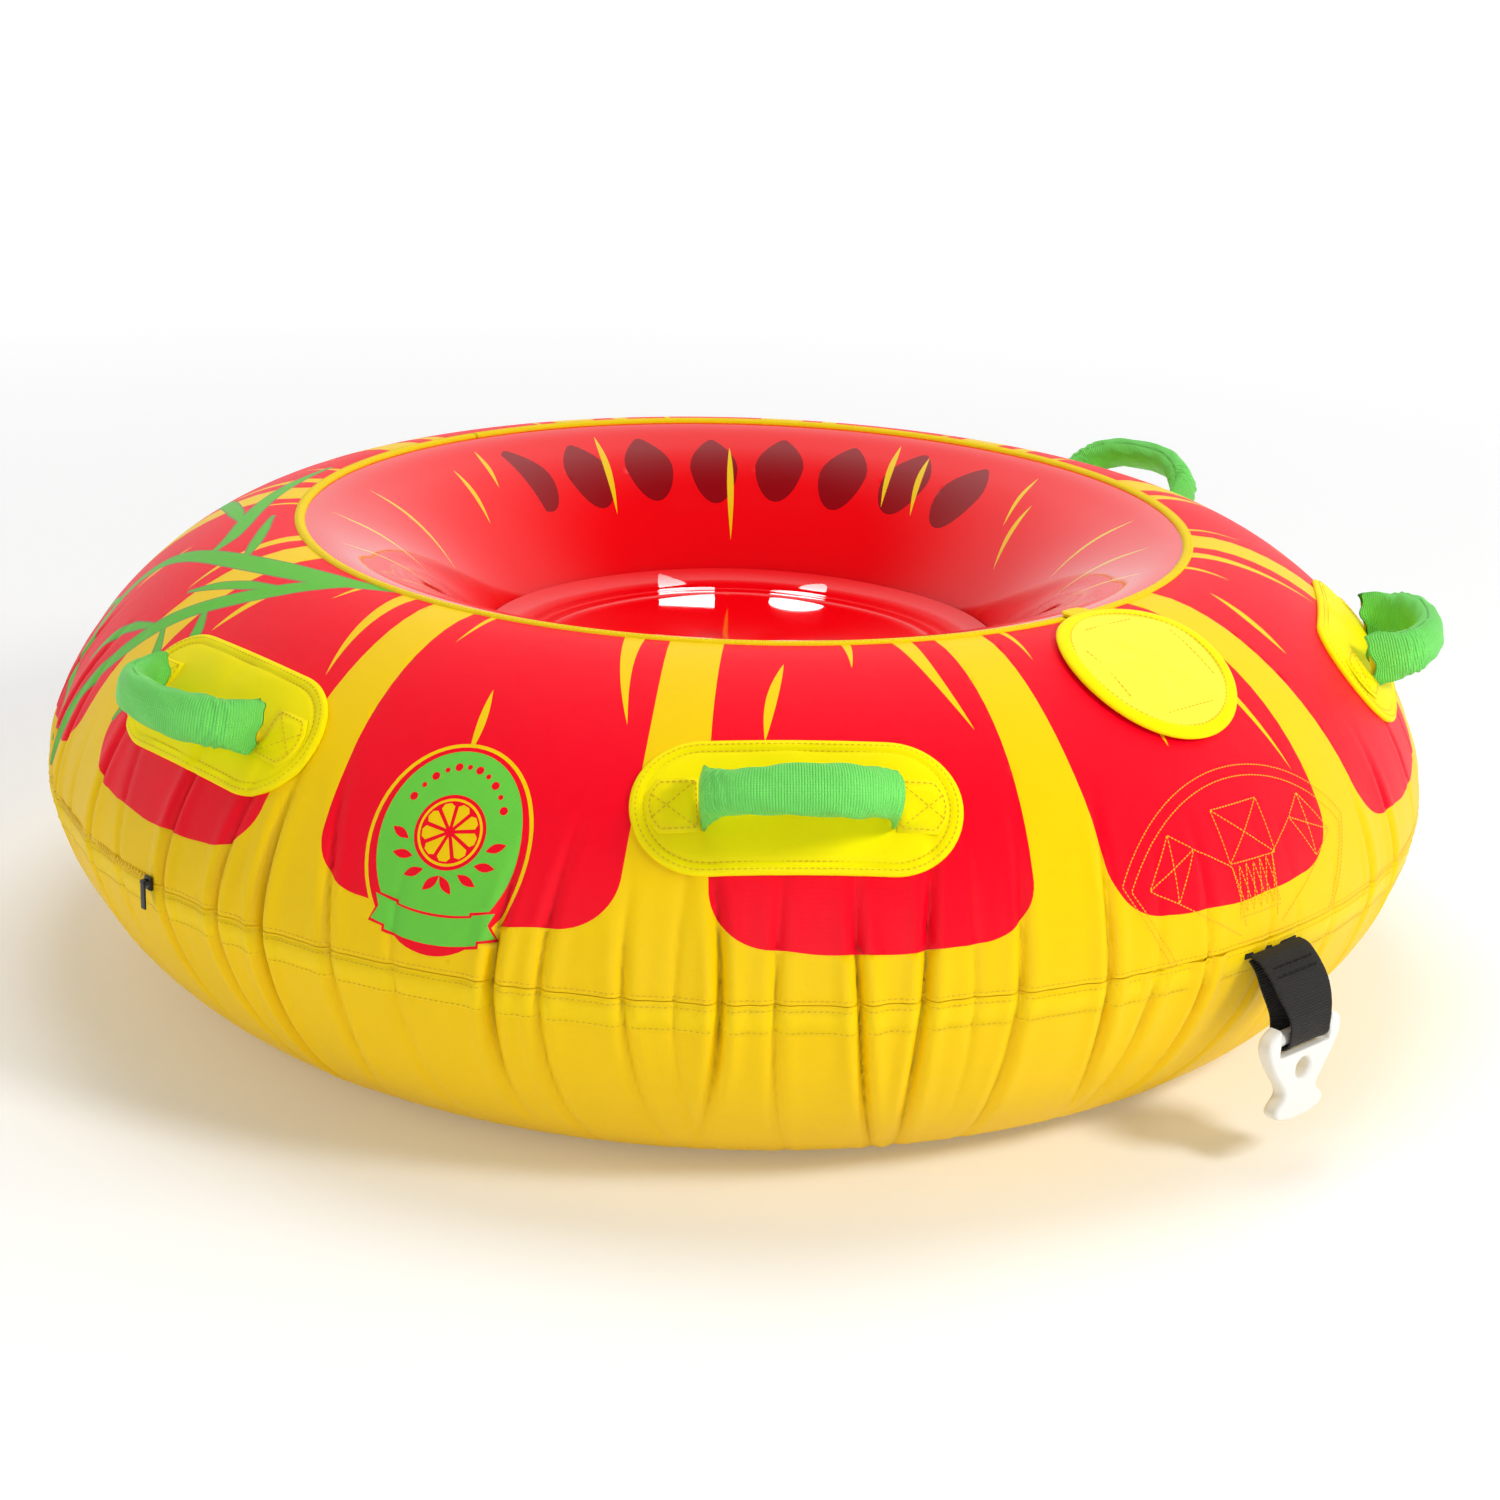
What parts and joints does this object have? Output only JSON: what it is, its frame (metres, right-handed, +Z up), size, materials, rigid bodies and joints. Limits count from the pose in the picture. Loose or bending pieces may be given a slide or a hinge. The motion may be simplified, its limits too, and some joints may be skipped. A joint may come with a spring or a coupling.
{
  "type": "towable tube",
  "caption": "Round inflatable towable water tube with a zipped fabric cover, a floor in its hole, padded grab handles, a filling valve under a flap, and a tow strap with a hook.",
  "frame": {"origin": "on the ground, under the middle of the ring, on the flat underside of the cover", "axes": "+Z up; +X the tow direction, through the tow strap and the valve flap; +Y to the rider's left, facing the boat"},
  "size_m": [1.2653, 1.2327, 0.3938],
  "materials": {
    "red_vinyl": "gloss",
    "printed_nylon": "satin weave",
    "yellow_nylon": "satin weave",
    "yellow_webbing": "ribbed weave",
    "yellow_pad": "padded fabric",
    "green_sleeve": "woven",
    "foam": "closed-cell foam",
    "black_webbing": "ribbed weave",
    "white_plastic": "satin",
    "black_plastic": "satin",
    "grey_rubber": "matte"
  },
  "bodies": {
    "tube": {"bladder_inner_wall": "red_vinyl", "bladder_outer_wall": "red_vinyl", "bladder_base": "red_vinyl", "floor_panel": "red_vinyl", "cover_top": "printed_nylon", "cover_bottom": "yellow_nylon", "seam_tape_inside": "yellow_nylon", "seam_tape_outside": "yellow_nylon", "rim_binding": "yellow_nylon", "zipper_coil": "yellow_nylon", "valve_flange": "red_vinyl", "valve_body": "white_plastic", "valve_gasket": "grey_rubber", "flap_loop_patch": "yellow_pad", "tow_reinforcement": "yellow_nylon", "tow_strap_right": "black_webbing", "tow_strap_centre": "black_webbing", "tow_strap_left": "black_webbing", "tow_webbing_root": "black_webbing", "handle_pad_right_front": "yellow_pad", "handle_anchor_right_front_a": "yellow_webbing", "handle_anchor_right_front_b": "yellow_webbing", "handle_pad_right_rear": "yellow_pad", "handle_anchor_right_rear_a": "yellow_webbing", "handle_anchor_right_rear_b": "yellow_webbing", "handle_pad_left_front": "yellow_pad", "handle_anchor_left_front_a": "yellow_webbing", "handle_anchor_left_front_b": "yellow_webbing", "handle_pad_left_rear": "yellow_pad", "handle_anchor_left_rear_a": "yellow_webbing", "handle_anchor_left_rear_b": "yellow_webbing"},
    "handle_right_front": {"handle_webbing_right_front": "yellow_webbing", "handle_core_right_front": "foam", "handle_sleeve_right_front": "green_sleeve"},
    "handle_right_rear": {"handle_webbing_right_rear": "yellow_webbing", "handle_core_right_rear": "foam", "handle_sleeve_right_rear": "green_sleeve"},
    "handle_left_front": {"handle_webbing_left_front": "yellow_webbing", "handle_core_left_front": "foam", "handle_sleeve_left_front": "green_sleeve"},
    "handle_left_rear": {"handle_webbing_left_rear": "yellow_webbing", "handle_core_left_rear": "foam", "handle_sleeve_left_rear": "green_sleeve"},
    "tow_strap": {"tow_webbing_loop": "black_webbing"},
    "tow_hook": {"tow_hook": "white_plastic"},
    "valve_flap": {"valve_flap": "yellow_pad", "flap_binding": "yellow_pad", "flap_hook_patch": "yellow_pad", "flap_pull_tab": "yellow_pad"},
    "valve_cap": {"valve_cap": "white_plastic"},
    "zipper_slider": {"zipper_slider": "black_plastic"},
    "zipper_pull": {"zipper_pull": "black_plastic"}
  },
  "joints": [
    {"name": "handle_right_front_swing", "type": "hinge", "parent": "tube", "child": "handle_right_front", "pos_m": [0.42683, -0.33952, 0.31587], "axis": [0.6225, 0.7826, 0], "range_deg": [-57, 15]},
    {"name": "handle_right_rear_swing", "type": "hinge", "parent": "tube", "child": "handle_right_rear", "pos_m": [-0.01428, -0.54521, 0.31587], "axis": [0.9997, -0.0262, 0], "range_deg": [-67, 5]},
    {"name": "handle_left_front_swing", "type": "hinge", "parent": "tube", "child": "handle_left_front", "pos_m": [0.42683, 0.33952, 0.31587], "axis": [-0.6225, 0.7826, 0], "range_deg": [-67, 5]},
    {"name": "handle_left_rear_swing", "type": "hinge", "parent": "tube", "child": "handle_left_rear", "pos_m": [-0.02379, 0.54488, 0.31587], "axis": [-0.999, -0.0436, 0], "range_deg": [-33, 39]},
    {"name": "tow_strap_swing", "type": "hinge", "parent": "tube", "child": "tow_strap", "pos_m": [0.613, 0, 0.172], "axis": [0, 1, 0], "range_deg": [-80, 0]},
    {"name": "tow_hook_swing", "type": "hinge", "parent": "tow_strap", "child": "tow_hook", "pos_m": [0.644, 0, 0.114], "axis": [0, 1, 0], "range_deg": [-90, 35]},
    {"name": "valve_flap_lift", "type": "hinge", "parent": "tube", "child": "valve_flap", "pos_m": [0.53766, 0, 0.32576], "axis": [0, 1, 0], "range_deg": [0, 110]},
    {"name": "valve_cap_turn", "type": "hinge", "parent": "tube", "child": "valve_cap", "pos_m": [0.46751, 0, 0.36865], "axis": [0.4251, 0, 0.9052], "range_deg": [0, 90]},
    {"name": "zipper_slider_travel", "type": "hinge", "parent": "tube", "child": "zipper_slider", "pos_m": [0, 0, 0.182], "axis": [0, 0, 1], "range_deg": [-176, 0]},
    {"name": "zipper_pull_swing", "type": "hinge", "parent": "zipper_slider", "child": "zipper_pull", "pos_m": [-0.01402, -0.61804, 0.183], "axis": [0.9997, -0.0227, 0], "range_deg": [-170, 0]}
  ]
}
